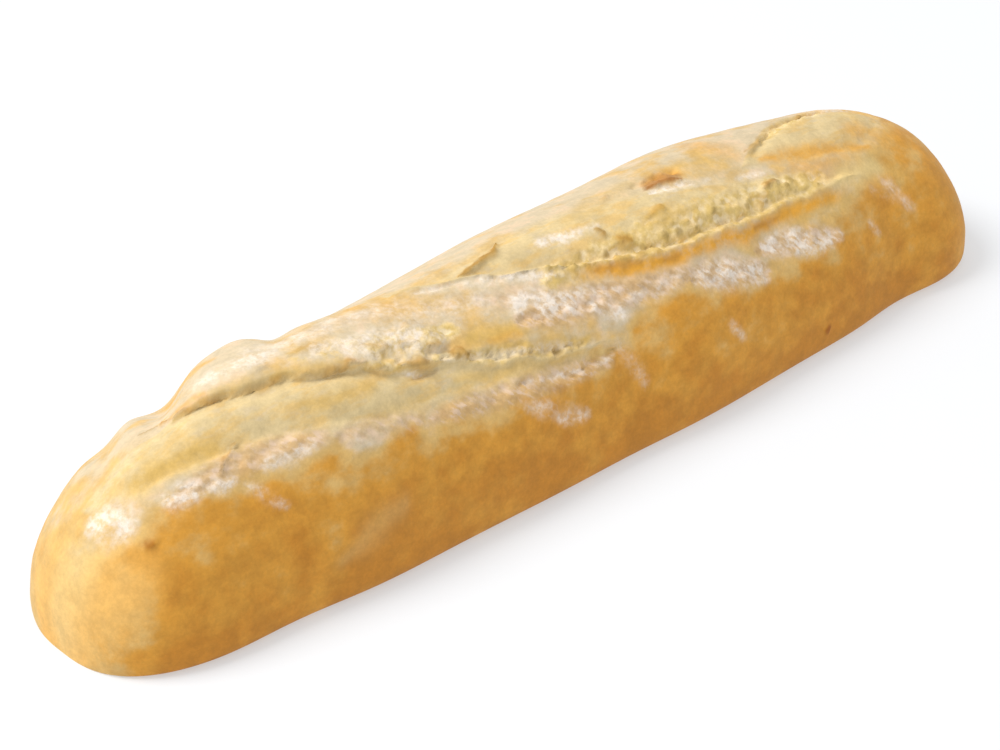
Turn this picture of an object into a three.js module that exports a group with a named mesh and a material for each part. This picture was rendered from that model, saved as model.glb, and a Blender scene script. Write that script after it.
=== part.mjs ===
// A short baguette: one solid loaf with a flat base, blunt rounded ends and three slanting slashes on top.
// Millimetres. The loaf lies along X, stands on z = 0 and is centred over the origin.
// A place on the crust is given by x and by a turn in degrees: 0 on the crest, -90 at the foot of the
// near flank (-Y) and +90 at the foot of the far flank (+Y).
import * as THREE from "three";

// Driving dimensions of the plain loaf, before the slashes open it.
const LENGTH = 270;
const HALF_LENGTH = LENGTH / 2;
const HALF_WIDTH = 33.6;
const HEIGHT = 47.4;
const SECTION_POWER = 1.79; // 2 would be an ellipse, less is more pointed at the crest
const FOOT_HEIGHT = 5; // the widest level of the loaf above its base
const FOOT_TUCK = 0.07; // how far the wall draws in below that level, as a share of the half width
const FOOT_TIP_SHARE = 0.4; // that level at the very tips, as a share of its height along the loaf
const FOOT_CEILING = 0.6; // it never climbs above this share of the section's own height
const END_HEIGHT_SHARE = 0.11; // height left at the very tip, as a share of the height
const BOW = -4.7; // how far the ends swing towards -Y against the middle
const BOW_BALANCE = 0.33; // centres the bow
const WIDTH_WAIST = 0.05; // width lost towards the ends, before they round off
const HEIGHT_LEAN = -0.03; // height lost from the middle to the +X end
const HEIGHT_WAIST = 0.03; // height lost towards both ends

// How the plan and the side view round off at each end: reach in millimetres and superellipse power.
const PLAN_END = {
  minus: { reach: 76.7, power: 2.87 },
  plus: { reach: 43, power: 2.9 },
};
const SIDE_END = {
  minus: { reach: 75, power: 2.38 },
  plus: { reach: 97, power: 3.04 },
};

// The three slashes. Each opens as a leaf from one place on the crust to another. ear is the torn lip
// on its far side, lip the one on its near side, bloom the swell of crumb between them, all in millimetres.
// taper is how fast the leaf narrows to its tips, and hook how far its far edge turns off at its start.
// lipFade is how quickly the crust below the lip settles back, in millimetres.
// The ear and the crevice under it rise from nothing at earFrom to their full size at earFull, and
// sink from earLast to nothing at earGone.
const SLASHES = [
  {
    start: { x: -125, turn: -1.5 },
    end: { x: 5, turn: -54 },
    sag: -9.5,
    halfTurn: 14.2,
    fullest: 0.08,
    taper: 1.5,
    hook: 12,
    earFrom: -110,
    earFull: -92,
    earLast: 4,
    earGone: 5,
    ear: 1.6,
    crevice: 1,
    lip: 0.4,
    lipFade: 6,
    trough: 0.5,
    bloom: 0.6,
  },
  {
    start: { x: -43, turn: -4.5 },
    end: { x: 94, turn: -40.5 },
    sag: -0.5,
    halfTurn: 14.3,
    fullest: 0.41,
    taper: 1.35,
    hook: 8,
    earFrom: -40,
    earFull: -28,
    earLast: -14,
    earGone: 8,
    ear: 0.6,
    crevice: 0.6,
    lip: 1.8,
    lipFade: 2.6,
    trough: 0.6,
    bloom: 1.2,
  },
  {
    start: { x: 60.5, turn: -18 },
    end: { x: 117, turn: -8.5 },
    sag: 1.7,
    halfTurn: 19.5,
    fullest: 0.65,
    taper: 1.1,
    hook: 0,
    earFrom: 60,
    earFull: 68,
    earLast: 116,
    earGone: 117,
    ear: 1,
    crevice: 1,
    lip: 0.3,
    lipFade: 6,
    trough: 0.4,
    bloom: 1,
  },
];
const HOOK_REACH = 6; // how soon a hook dies out along X
const EAR_FADE = 8; // how quickly the crust behind an ear settles back, in millimetres
const EDGE_BLEND = 2.2; // width of the step from the opening up to its lips
const CREVICE_INSET = 2.2; // how far inside its edge a crevice runs
const CREVICE_HALF_WIDTH = 2.2; // to where it has lost most of its depth
const RELIEF_FULL_TURN = 70; // beyond this turn the relief dies out, to nothing at the foot
const FOOT_TURN = 90;
const RELIEF_TIP_FADE = 12; // and it dies out over this length at each tip

// Swells and dents of the crust: where, how high, and how far they reach along x and around the loaf.
// lean moves a swell along x as it goes round, in millimetres for each degree.
const SWELLS = [
  { x: -111, turn: 30, rise: -2.1, reach: 6.3, spread: 30, lean: 0.3 },
  { x: -95.5, turn: 30, rise: -4.9, reach: 6.9, spread: 28, lean: 0.3 },
  { x: -73, turn: 28, rise: 2.8, reach: 13, spread: 30, lean: 0.3 },
  { x: -65, turn: 28, rise: -2.1, reach: 5, spread: 28, lean: 0.3 },
  { x: -48, turn: 28, rise: -5, reach: 41, spread: 30, lean: 0 },
  { x: 11, turn: 26, rise: -2.2, reach: 23, spread: 30, lean: 0 },
  { x: 96.5, turn: 20, rise: -2.7, reach: 26, spread: 30, lean: 0 },
];
// Swells and dents of the near wall, which shape the near edge of the base.
const NEAR_WALL_SWELLS = [
  { x: -94, rise: -2.4, reach: 18 },
  { x: 12, rise: 3.5, reach: 48 },
  { x: 2, rise: -1.1, reach: 20 },
  { x: 99, rise: -2.6, reach: 15 },
];

// Slow waves of the whole crust, in millimetres and in radians for each millimetre or degree.
const WAVES = [
  { rise: 0.45, alongX: 0.071, around: 0.021, phase: 0.6 },
  { rise: 0.3, alongX: 0.123, around: -0.043, phase: 2.1 },
];

// How the skin is divided: stations along X and columns around the loaf, closer where the slashes are.
const END_STATIONS = 9;
const END_ZONE = 20; // length at each end with closer stations
const FIRST_STATION = 0.15; // from the tip to the first ring
const MIDDLE_STEPS = 84;
const NEAR_STEPS = 4;
const SLASHED_STEPS = 30;
const FAR_STEPS = 7;
const SLASHED_FROM = -62;
const SLASHED_TO = 22;
const FOOT_LEVELS = [0.5, 1]; // rows of the wall below the widest level, as shares of the way to the base
const TIP_LEVEL = 0.5; // height of the pole of each end, as a share of the tip height

const clamp01 = (value) => Math.min(1, Math.max(0, value));
const mix = (from, to, share) => from + (to - from) * share;
const bell = (value) => Math.exp(-value * value);

function smoothStep(from, to, value) {
  const share = clamp01((value - from) / (to - from));
  return share * share * (3 - 2 * share);
}

// 0 at the tips of the loaf and 1 where neither end rounds off.
function taper(x, ends) {
  const fromMinus = clamp01((x + HALF_LENGTH) / ends.minus.reach);
  const fromPlus = clamp01((HALF_LENGTH - x) / ends.plus.reach);
  const round = (share, power) => (1 - (1 - share) ** power) ** (1 / power);
  return round(fromMinus, ends.minus.power) * round(fromPlus, ends.plus.power);
}

// The plain cross-section at x.
function sectionAt(x) {
  const along = x / HALF_LENGTH;
  const plan = taper(x, PLAN_END);
  const side = taper(x, SIDE_END);
  const halfWidth = HALF_WIDTH * plan * (1 - WIDTH_WAIST * along * along);
  const height =
    HEIGHT *
    mix(END_HEIGHT_SHARE, 1, side) *
    (1 + HEIGHT_LEAN * along - HEIGHT_WAIST * along * along);
  const foot = Math.min(FOOT_HEIGHT * mix(FOOT_TIP_SHARE, 1, side), FOOT_CEILING * height);
  const shift = BOW * (along * along - BOW_BALANCE);
  let nearWidth = halfWidth;
  for (const swell of NEAR_WALL_SWELLS) nearWidth += plan * swell.rise * bell((x - swell.x) / swell.reach);
  return { halfWidth, nearWidth, height, foot, shift };
}

// Millimetres of crust for each degree of turn on a section.
function girthPerDegree(section) {
  const radius = (section.halfWidth + section.height - section.foot) / 2;
  return (radius * Math.PI) / 180;
}

// 0 at both tips of a slash and 1 where it is fullest.
function leaf(share, fullest) {
  const bent = share < fullest ? (0.5 * share) / fullest : 1 - (0.5 * (1 - share)) / (1 - fullest);
  return Math.sin(Math.PI * clamp01(bent));
}

// Where one slash lies at x: its two edges as turns, and how far it gapes, from 0 at its tips to 1.
function slashAt(slash, x) {
  const share = (x - slash.start.x) / (slash.end.x - slash.start.x);
  if (share <= 0 || share >= 1) return null;
  const width = leaf(share, slash.fullest);
  const middle = mix(slash.start.turn, slash.end.turn, share) + slash.sag * 4 * share * (1 - share);
  const halfTurn = slash.halfTurn * width ** slash.taper;
  const hook = slash.hook * Math.exp((slash.start.x - x) / HOOK_REACH);
  return { gape: Math.sqrt(width), middle, halfTurn, far: middle + halfTurn + hook, near: middle - halfTurn };
}

// 0 inside an opening and 1 at its edge, and past that edge dying out over the fade.
function edgeRise(past, fade) {
  return smoothStep(-EDGE_BLEND, 0, past) * Math.exp(-Math.max(past, 0) / fade);
}

// How far one slash lifts or sinks the crust at a place, in millimetres.
function slashRelief(slash, x, turn, girth) {
  const cut = slashAt(slash, x);
  if (!cut) return 0;
  const earShare = smoothStep(slash.earFrom, slash.earFull, x) * smoothStep(slash.earGone, slash.earLast, x);
  const pastFar = (turn - cut.far) * girth;
  const pastNear = (cut.near - turn) * girth;
  const ear = slash.ear * edgeRise(pastFar, EAR_FADE);
  const lip = slash.lip * edgeRise(pastNear, slash.lipFade);
  const crevice = slash.crevice * bell((pastFar + CREVICE_INSET) / CREVICE_HALF_WIDTH);
  const trough = slash.trough * bell((pastNear + CREVICE_INSET) / CREVICE_HALF_WIDTH);
  const across = clamp01(Math.abs(turn - cut.middle) / cut.halfTurn);
  const bloom = slash.bloom * (1 - across * across);
  return cut.gape * (earShare * (ear - crevice) + lip + bloom - trough);
}

// The whole relief of the crust at a place: slashes, swells and waves, fading out at the foot and the tips.
function relief(x, turn, section) {
  const girth = girthPerDegree(section);
  let rise = 0;
  for (const slash of SLASHES) rise += slashRelief(slash, x, turn, girth);
  for (const swell of SWELLS) {
    const round = turn - swell.turn;
    const along = x - swell.x - swell.lean * round;
    rise += swell.rise * bell(along / swell.reach) * bell(round / swell.spread);
  }
  for (const wave of WAVES) rise += wave.rise * Math.sin(wave.alongX * x + wave.around * turn + wave.phase);
  const aboveFoot = smoothStep(FOOT_TURN, RELIEF_FULL_TURN, Math.abs(turn));
  return rise * aboveFoot * smoothStep(HALF_LENGTH, HALF_LENGTH - RELIEF_TIP_FADE, Math.abs(x));
}

// A point of the crust, with its relief, as [x, y, z].
function crustPoint(x, turn, section) {
  const angle = (turn * Math.PI) / 180;
  const across = Math.sign(angle) * Math.abs(Math.sin(angle)) ** (2 / SECTION_POWER);
  const up = Math.max(Math.cos(angle), 0) ** (2 / SECTION_POWER);
  const rise = relief(x, turn, section);
  const reach = turn < 0 ? section.nearWidth : section.halfWidth;
  const y = section.shift + reach * across + rise * Math.sin(angle);
  const z = section.foot + (section.height - section.foot) * up + rise * Math.cos(angle);
  return [x, y, z];
}

// A point of the wall below the widest level: share is 0 at that level and 1 at the base.
function footPoint(x, side, share, section) {
  const draw = 1 - FOOT_TUCK * share * share;
  const reach = side < 0 ? section.nearWidth : section.halfWidth;
  return [x, section.shift + side * reach * draw, section.foot * (1 - share)];
}

// The columns of one ring, as turns. Beside each edge of a slash, two neighbouring columns are moved onto
// its crest and its crease, so that both run on unbroken from ring to ring.
function columnsAt(x, section) {
  const columns = [
    ...spread(-FOOT_TURN, SLASHED_FROM, NEAR_STEPS),
    ...spread(SLASHED_FROM, SLASHED_TO, SLASHED_STEPS),
    ...spread(SLASHED_TO, FOOT_TURN, FAR_STEPS),
    FOOT_TURN,
  ];
  const inset = CREVICE_INSET / girthPerDegree(section);
  const cuts = SLASHES.map((slash) => slashAt(slash, x)).filter((cut) => cut);
  const taken = new Set();
  for (const cut of cuts) {
    for (const [low, high] of [[cut.far - inset, cut.far], [cut.near, cut.near + inset]]) {
      const misses = columns.slice(1).map((turn, i) => Math.abs(columns[i] + turn - low - high));
      const first = misses.indexOf(Math.min(...misses));
      if (taken.has(first) || taken.has(first + 1)) continue;
      columns[first] = low;
      columns[first + 1] = high;
      taken.add(first).add(first + 1);
    }
  }
  return columns.sort((a, b) => a - b);
}

// One ring of the skin, from the near edge of the base over the crest to the far edge.
function ringAt(x) {
  const section = sectionAt(x);
  const foot = (side) => FOOT_LEVELS.map((share) => footPoint(x, side, share, section));
  const crust = columnsAt(x, section).map((turn) => crustPoint(x, turn, section));
  return [...foot(-1).reverse(), ...crust, ...foot(1)];
}

function spread(from, to, steps) {
  return Array.from({ length: steps }, (_, i) => mix(from, to, i / steps));
}

function stations() {
  const end = Array.from({ length: END_STATIONS }, (_, i) => {
    const share = i / END_STATIONS;
    return -HALF_LENGTH + mix(FIRST_STATION, END_ZONE, share * share);
  });
  const middle = spread(-HALF_LENGTH + END_ZONE, HALF_LENGTH - END_ZONE, MIDDLE_STEPS);
  return [...end, ...middle, HALF_LENGTH - END_ZONE, ...end.map((x) => -x).reverse()];
}

// The closed skin: rings joined into walls, their two lowest edges joined into the flat base, and a pole
// at each tip.
function loafGeometry() {
  const rings = stations().map(ringAt);
  const across = rings[0].length;
  const tip = (side) => {
    const section = sectionAt(side * HALF_LENGTH);
    return [side * HALF_LENGTH, section.shift, section.height * TIP_LEVEL];
  };
  const points = [...rings.flat(), tip(-1), tip(1)];
  const faces = [];
  const at = (station, column) => station * across + (column % across);
  for (let station = 0; station < rings.length - 1; station++) {
    for (let column = 0; column < across; column++) {
      const low = at(station, column);
      const lowNext = at(station, column + 1);
      const high = at(station + 1, column);
      const highNext = at(station + 1, column + 1);
      faces.push(low, high, lowNext, high, highNext, lowNext);
    }
  }
  const minusTip = rings.length * across;
  const lastRing = rings.length - 1;
  for (let column = 0; column < across; column++) {
    faces.push(minusTip, at(0, column), at(0, column + 1));
    faces.push(minusTip + 1, at(lastRing, column + 1), at(lastRing, column));
  }
  const geometry = new THREE.BufferGeometry();
  geometry.setAttribute("position", new THREE.Float32BufferAttribute(points.flat(), 3));
  geometry.setIndex(faces);
  geometry.computeBoundingBox();
  const middle = geometry.boundingBox.getCenter(new THREE.Vector3());
  geometry.translate(-middle.x, -middle.y, 0);
  geometry.computeVertexNormals();
  return geometry;
}

const crustMaterial = new THREE.MeshStandardMaterial({ color: 0xd6a860, roughness: 0.78, metalness: 0 });

const loaf = new THREE.Mesh(loafGeometry(), crustMaterial);
loaf.name = "loaf";

const baguette = new THREE.Group();
baguette.add(loaf);

export default baguette;
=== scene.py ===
"""A short baguette: the loaf's fine skin, its crust material, a white table, soft light and the camera."""

import math

import bpy
import numpy as np
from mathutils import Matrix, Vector


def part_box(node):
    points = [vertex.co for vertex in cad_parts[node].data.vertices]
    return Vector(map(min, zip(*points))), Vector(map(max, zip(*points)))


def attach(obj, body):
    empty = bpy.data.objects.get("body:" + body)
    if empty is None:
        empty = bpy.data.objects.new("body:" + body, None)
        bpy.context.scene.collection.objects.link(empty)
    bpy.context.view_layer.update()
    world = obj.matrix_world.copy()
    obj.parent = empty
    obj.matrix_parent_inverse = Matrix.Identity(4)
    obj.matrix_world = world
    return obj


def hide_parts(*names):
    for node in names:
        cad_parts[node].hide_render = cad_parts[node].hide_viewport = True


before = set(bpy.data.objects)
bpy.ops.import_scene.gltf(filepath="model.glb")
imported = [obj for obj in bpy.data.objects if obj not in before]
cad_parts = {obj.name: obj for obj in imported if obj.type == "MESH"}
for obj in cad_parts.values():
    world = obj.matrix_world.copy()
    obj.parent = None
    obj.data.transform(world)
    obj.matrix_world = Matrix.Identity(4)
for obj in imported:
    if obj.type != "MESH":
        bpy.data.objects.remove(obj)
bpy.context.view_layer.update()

LOAF_LOW, LOAF_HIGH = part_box("loaf")

# The plain loaf, in millimetres of its own: the same named sizes as the CAD model has. A place on the
# crust is given by x and by a turn in degrees: 0 on the crest, -90 at the foot of the near flank (-Y)
# and +90 at the foot of the far flank (+Y).
LENGTH = 270.0
HALF_LENGTH = LENGTH / 2
MM = (LOAF_HIGH.x - LOAF_LOW.x) / LENGTH  # metres for each of those millimetres
HALF_WIDTH = 33.6
HEIGHT = 47.4
SECTION_POWER = 1.79
FOOT_HEIGHT = 5.0
FOOT_TUCK = 0.07
FOOT_TIP_SHARE = 0.4
FOOT_CEILING = 0.6
END_HEIGHT_SHARE = 0.11
BOW = -4.7
BOW_BALANCE = 0.33
WIDTH_WAIST = 0.05
HEIGHT_LEAN = -0.03
HEIGHT_WAIST = 0.03
TIP_LEVEL = 0.5
# How the plan and the side view round off at the -X and the +X end: reach and superellipse power.
PLAN_END = ((76.7, 2.87), (43, 2.9))
SIDE_END = ((75, 2.38), (97, 3.04))

# The three slashes, as in the CAD model. curl is how far each ear leans over its crevice, lip_curl how
# far each lip leans over its trough, scorched how much the crust is toasted just under its lip, and
# soft and soft_far how gradually the colour changes over the near and the far edge, in millimetres.
SLASHES = (
    dict(
        start=(-125, -1.5), end=(5, -54), sag=-9.5, half_turn=14.2, fullest=0.08, taper=1.5, hook=12,
        ear_from=-110, ear_full=-92, ear_last=4, ear_gone=5, ear=1.6, crevice=1.0,
        lip=0.4, lip_fade=6, trough=0.5, bloom=0.6,
        curl=0.3, lip_curl=0.1, scorched=0, soft=2.5, soft_far=0.5,
    ),
    dict(
        start=(-43, -4.5), end=(94, -40.5), sag=-0.5, half_turn=14.3, fullest=0.41, taper=1.35, hook=8,
        ear_from=-40, ear_full=-28, ear_last=-14, ear_gone=8, ear=0.6, crevice=0.6,
        lip=1.8, lip_fade=2.6, trough=0.6, bloom=1.2,
        curl=0.1, lip_curl=0.3, scorched=1, soft=0.5, soft_far=3.0,
    ),
    dict(
        start=(60.5, -18), end=(117, -8.5), sag=1.7, half_turn=19.5, fullest=0.65, taper=1.1, hook=0,
        ear_from=60, ear_full=68, ear_last=116, ear_gone=117, ear=1.0, crevice=1.0,
        lip=0.3, lip_fade=6, trough=0.4, bloom=1.0,
        curl=0, lip_curl=0.1, scorched=0, soft=2.0, soft_far=0.5,
    ),
)
HOOK_REACH = 6
EAR_FADE = 8
EDGE_BLEND = 2.2
CREVICE_INSET = 2.2
CREVICE_HALF_WIDTH = 2.2
LEAST_HALF_TURN = 1e-6  # where a slash is shut
# A torn edge leans out most just behind its crest, by this many times as much as it draws back at
# the bottom of its crevice.
LEAN = 1.5
LEAN_BEHIND = 0.3
LEAN_REACH = 2.0
UNDERCUT_REACH = 1.4
# The toasted band under a lip: the places along x and the gapes from which it begins and is full, and
# how far off the lip it lies and reaches.
SCORCHED_ALONG = (-6, 8)
SCORCHED_GAPE = (0.3, 0.6)
SCORCHED_OFF_LIP = 1.8
SCORCHED_REACH = 1.5
# The relief fades out towards the foot and the tips.
FOOT_TURN = 90
RELIEF_FULL_TURN = 70
FINE_RELIEF_FULL_TURN = 82
RELIEF_TIP_FADE = 12
# x, turn, rise, reach along x, spread around the loaf and lean, as in the CAD model.
SWELLS = (
    (-111, 30, -2.1, 6.3, 30, 0.3),
    (-95.5, 30, -4.9, 6.9, 28, 0.3),
    (-73, 28, 2.8, 13, 30, 0.3),
    (-65, 28, -2.1, 5, 28, 0.3),
    (-48, 28, -5, 41, 30, 0),
    (11, 26, -2.2, 23, 30, 0),
    (96.5, 20, -2.7, 26, 30, 0),
)
# Swells of the near wall: x, rise and reach along x, as in the CAD model.
NEAR_WALL_SWELLS = ((-94, -2.4, 18), (12, 3.5, 48), (2, -1.1, 20), (99, -2.6, 15))
# Slow waves: rise, radians for each millimetre along x, radians for each degree around, phase.
WAVES = ((0.45, 0.071, 0.021, 0.6), (0.3, 0.123, -0.043, 2.1))

# Marks of the crust. Each runs from one place (x, turn) to another, with a sag in millimetres to one
# side, a half width in millimetres and an amount: a depth or a rise in millimetres, or a share.

# Cracks, pinholes and small hollows.
HOLLOWS = (
    ((-72, -11), (-67, -13.5), 0, 0.8, 0.5),
    ((-59, -22), (-53.5, -26), 0, 0.9, 0.6),
    ((-53.5, -32), (-47, -36), 0, 0.6, 0.7),
    ((-44.5, -31.5), (-41, -34), 0, 0.6, 0.7),
    ((15.5, -26.5), (17.5, -28), 0, 1.0, 0.7),
    ((26, -23.5), (30.5, -22.5), 0, 0.8, 0.5),
    ((-107.5, 11), (-105, 5), 0, 0.6, 0.6),
    ((-104.5, 6), (-103, 1), 0, 0.6, 0.6),
    ((-102, -3), (-93, -11.5), -0.4, 0.9, 0.6),
    ((-95, -10), (-87, -15), 0, 0.6, 0.45),
    ((-89, -14), (-79, -19), -0.4, 1.0, 0.6),
    ((-81, -17), (-79.8, -19), 0, 0.6, 0.5),
    ((-77, -20), (-61, -27), -0.3, 0.7, 0.42),
    ((-71, -23), (-63, -26), 0, 0.7, 0.7),
    ((-61, -28), (-56, -31), 0, 0.5, 0.5),
    ((-39, -39.5), (-37, -40.5), 0, 0.6, 0.7),
    ((-24, -46), (-21, -47), 0, 0.5, 0.5),
    ((-83, -11), (-80, -12), 0, 0.6, 0.4),
    ((-74, -12), (-68, -14), 0, 0.7, 0.4),
    ((-25.5, -12), (-20, -11), 0.3, 0.7, 0.9),
    ((-20, -11), (-11.5, -8.3), -0.4, 0.8, 1.0),
    ((32, -10.7), (43, -13.5), 0.7, 0.7, 0.65),
    ((66, -13), (72, -8.5), 0, 0.6, 0.6),
    ((72, -8), (78, -3), 0, 0.6, 0.5),
    ((80, -4), (80.5, -3.5), 0, 0.8, 0.6),
    ((86, 1), (90, 4), 0, 0.7, 0.6),
    ((92, 5), (93, 6), 0, 0.8, 0.8),
    ((-101, -35), (-95, -31), 0.8, 0.5, 0.6),
    ((-120.7, -36), (-120.3, -37), 0, 0.7, 1.0),
    ((66, -86), (66.5, -87), 0, 0.7, 1.2),
    ((11.5, -20.5), (13, -22), 0, 0.7, 0.9),
    ((15, -27), (18, -29), 0, 0.7, 0.7),
    ((20, -34), (22, -32), 0, 0.8, 0.5),
    ((27, -24), (28.5, -24), 0, 0.7, 0.5),
    ((34, -32), (38, -32), 0, 0.8, 0.4),
    ((42, -37), (46, -36), 0, 0.7, 0.5),
    ((50, -34), (52, -34), 0, 0.6, 0.4),
    ((58, -34.5), (62, -33.5), 0, 0.9, 0.5),
    ((62, -30), (67, -30.5), 0, 0.6, 0.6),
    ((22, -6), (23, -4.5), 0, 0.7, 0.5),
    ((-39.5, -38.5), (-36.5, -39), 0, 0.9, 0.8),
    ((-51, -27), (-46, -29), 0, 0.7, 0.5),
    ((-47, -22), (-43, -22.5), 0, 0.6, 0.45),
    ((-53, -20), (-49, -21), 0, 0.6, 0.4),
    ((-1.5, -59.5), (-0.5, -64), 0, 1.1, 0.4),
)
# Rags of torn crumb and skin that stand up.
RIDGES = (
    ((-51.5, -37.5), (-46, -39), 0, 0.8, 0.7),
    ((-52, -28), (-47, -31), 0, 1.0, 0.7),
    ((-42, -37), (-39, -36), 0, 0.8, 0.8),
    ((-43, -36.5), (-7, -50), -0.3, 1.2, 1.1),
    ((-46, -33), (-38, -36), 0, 1.4, 0.7),
    ((-58, -27), (-46, -32), 0, 1.5, 0.6),
    ((-36, -10), (-2, -29), 0, 1.2, 0.5),
    ((31, -5.5), (44, -8), 0.6, 2.0, 0.6),
    ((31, -14), (45, -17), 0.4, 0.9, 0.5),
    ((-28, -53), (-9, -58), 0, 1.0, 0.6),
    ((-9, -58), (0, -56.5), 0.5, 1.3, 1.0),
    ((-20, -36), (-14, -40), 0.5, 0.8, 0.5),
    ((88, 1.5), (94, 2.5), 0, 1.3, 0.7),
    ((94, 3), (100, 5), 0, 1.8, 1.0),
)
# Torn open crumb: rough and full of pores.
TORN = (
    ((-8, -28), (79, -34), -0.8, 5.2, 1.0),
    ((-74, -15), (-47, -25), 0, 4.0, 0.4),
    ((-62, -28), (-45, -33), 0, 2.2, 0.65),
    ((-45, -35.5), (-7, -50), -0.3, 1.6, 0.9),
    ((-58, -24), (-37, -30), 0, 3.6, 0.9),
    ((74, -8), (100, 3), 0.5, 3.6, 0.75),
)
# Light brown patches and edges of the crust's own tan; the marks that lie on hollows and creases are
# painted shade there.
TANNED_AND_HOLLOW_SHADE = (
    ((-73, -11), (-67, -13), 0, 1.6, 0.85),
    ((-53.5, -32), (-47, -36), 0, 0.6, 0.5),
    ((15.5, -26.5), (17.5, -28), 0, 1.5, 1.0),
    ((25.5, -23.5), (31, -22.5), 0, 1.3, 1.0),
    ((19, 1), (26, -1.5), 0, 1.5, 0.6),
    ((-25.5, -12), (-12, -8.5), 0, 0.9, 0.5),
    ((-117, -13), (-99, -26), 0, 3.4, 0.9),
    ((-104.5, 9), (-102.5, 7.5), 0, 1.1, 0.9),
    ((-95, -6), (-81, -15), 0, 1.4, 0.55),
    ((-81, -16.5), (-64, -24), 0, 1.3, 0.7),
    ((-80, -31), (-62, -36), 0, 2.0, 0.6),
    ((-66, -42), (-50, -46), 0, 1.5, 0.4),
    ((-38.5, -17), (-34, -16.5), 0, 2.0, 0.8),
    ((-44, -14), (-43, -17), 0, 1.5, 0.4),
    ((-34, -34), (-21, -39), 0, 2.6, 0.9),
    ((-28, -41), (-5, -50), 0, 1.3, 0.85),
    ((-43, -44), (-5, -54), 0, 1.6, 0.6),
    ((8, -11), (20, -9), 0, 2.8, 0.4),
    ((14, -5), (32, -2), 0, 4.0, 0.45),
    ((44, -8), (62, -11), 0, 4.5, 0.45),
    ((95, -32), (105, -42), 0, 4.0, 0.45),
    ((24, -25), (37, -27), 0, 2.0, 0.55),
    ((45, -45), (52, -47), 0, 1.8, 0.7),
    ((62, -42), (84, -45), 0, 2.6, 0.7),
    ((48, -12), (60, -16), 0, 3.0, 0.4),
)
# Orange-brown, toasted patches and edges.
TOASTED = (
    ((-104, 4), (-96, -5), 0, 1.5, 0.6),
    ((-30, -37.5), (-21, -40), 0, 1.2, 0.4),
    ((8, -35), (20, -37), 0, 1.6, 0.4),
    ((34, -7), (44, -9), 0.5, 2.2, 0.7),
    ((68, -19), (100, -29), -0.5, 2.6, 0.75),
    ((75, -26), (93, -34), 0, 4.0, 0.55),
    ((99, -20), (116, -30), 0, 4.5, 0.5),
    ((57, 12), (62, -8), 0, 4.0, 0.4),
    ((-51, 3), (-50, 1), 0, 2.2, 0.3),
    ((-92, 40), (-86, 16), 0, 2.4, 0.65),
    ((106, 12), (117, -14), 0, 6.0, 0.35),
)
# Dark, burnt edges.
BURNT = (
    ((32, -10.5), (43.5, -13.3), 0.8, 1.1, 1.0),
    ((34, -8), (43.5, -10.5), 0.5, 1.8, 0.75),
    ((4, -33.5), (17, -36.5), 0, 0.7, 0.35),
    ((22, -38.5), (27, -39.5), 0, 0.8, 0.4),
    ((52, -41.5), (61, -42), 0, 0.9, 0.45),
    ((-21, -59), (-16, -60), 0, 1.0, 0.4),
    ((62, -30), (66, -30), 0, 0.7, 0.4),
)
# White flour.
FLOURED = (
    ((-126, -7), (-121.5, -26), 0, 3.2, 0.85),
    ((-113, -29), (-108, -34), 0, 2.5, 0.95),
    ((-107, -35), (-100, -40), 0, 1.8, 0.75),
    ((-98, -43), (-91, -55), 0, 1.8, 0.5),
    ((-92, -41), (-81, -43), 0, 2.0, 0.65),
    ((-71, -47), (-69, -49), 0, 1.4, 0.5),
    ((-92, 2), (-78, -5), 0, 5.0, 0.7),
    ((-80, 2), (-62, -6), 0, 6.0, 0.55),
    ((-62, -2), (-44, -10), 0, 6.0, 0.5),
    ((-72, -14), (-62, -18), 0, 3.0, 0.6),
    ((-62, -20), (-42, -29), 0, 4.5, 0.8),
    ((-50, -18), (-22, -26), 0, 5.0, 0.5),
    ((-43, -36.5), (-7, -50), -0.3, 1.3, 0.5),
    ((-56, -34), (-49, -38), 0, 0.9, 0.7),
    ((96, 8), (112, 6), 0, 5.0, 0.6),
    ((-18, -31), (-6, -38), 0, 3.6, 1.0),
    ((-8, -34), (8, -40), 0, 2.6, 0.5),
    ((0, -42), (6, -47), 0, 2.6, 0.85),
    ((9, -44), (28, -45.5), 0, 2.2, 0.5),
    ((29, -47), (49, -54), 0, 3.3, 0.9),
    ((40, -54), (50, -58), 0, 1.8, 0.6),
    ((53, -48), (67, -51.5), 0, 2.9, 0.95),
    ((62, -54), (77, -56), 0, 2.5, 0.85),
    ((89, -57), (91, -61), 0, 1.6, 0.5),
    ((99, -42), (105, -56), 0, 2.8, 0.35),
    ((94, -46), (100, -52), 0, 2.2, 0.3),
    ((-28, -60), (-22, -62.5), 0, 1.7, 0.55),
    ((-20, -68), (-12, -71), 0, 2.0, 0.6),
    ((-28, -53), (-9, -58), 0, 0.9, 0.6),
    ((-6, -58.5), (0, -57.5), 0, 1.0, 0.6),
    ((34, -65), (37, -71), 0, 1.7, 0.5),
    ((2, -55), (6, -70), 0, 2.6, 0.4),
    ((-3, -15), (7, -17.5), 0, 2.3, 0.9),
    ((9, -17), (13, -18), 0, 1.8, 0.5),
    ((-37, -9.5), (-4, -29.5), 0, 1.6, 0.7),
    ((57, -22), (65, -24), 0, 1.5, 0.55),
    ((33, -14), (45, -17), 0, 1.9, 0.9),
    ((44, -19), (50, -18), 0, 1.4, 0.4),
)
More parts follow.
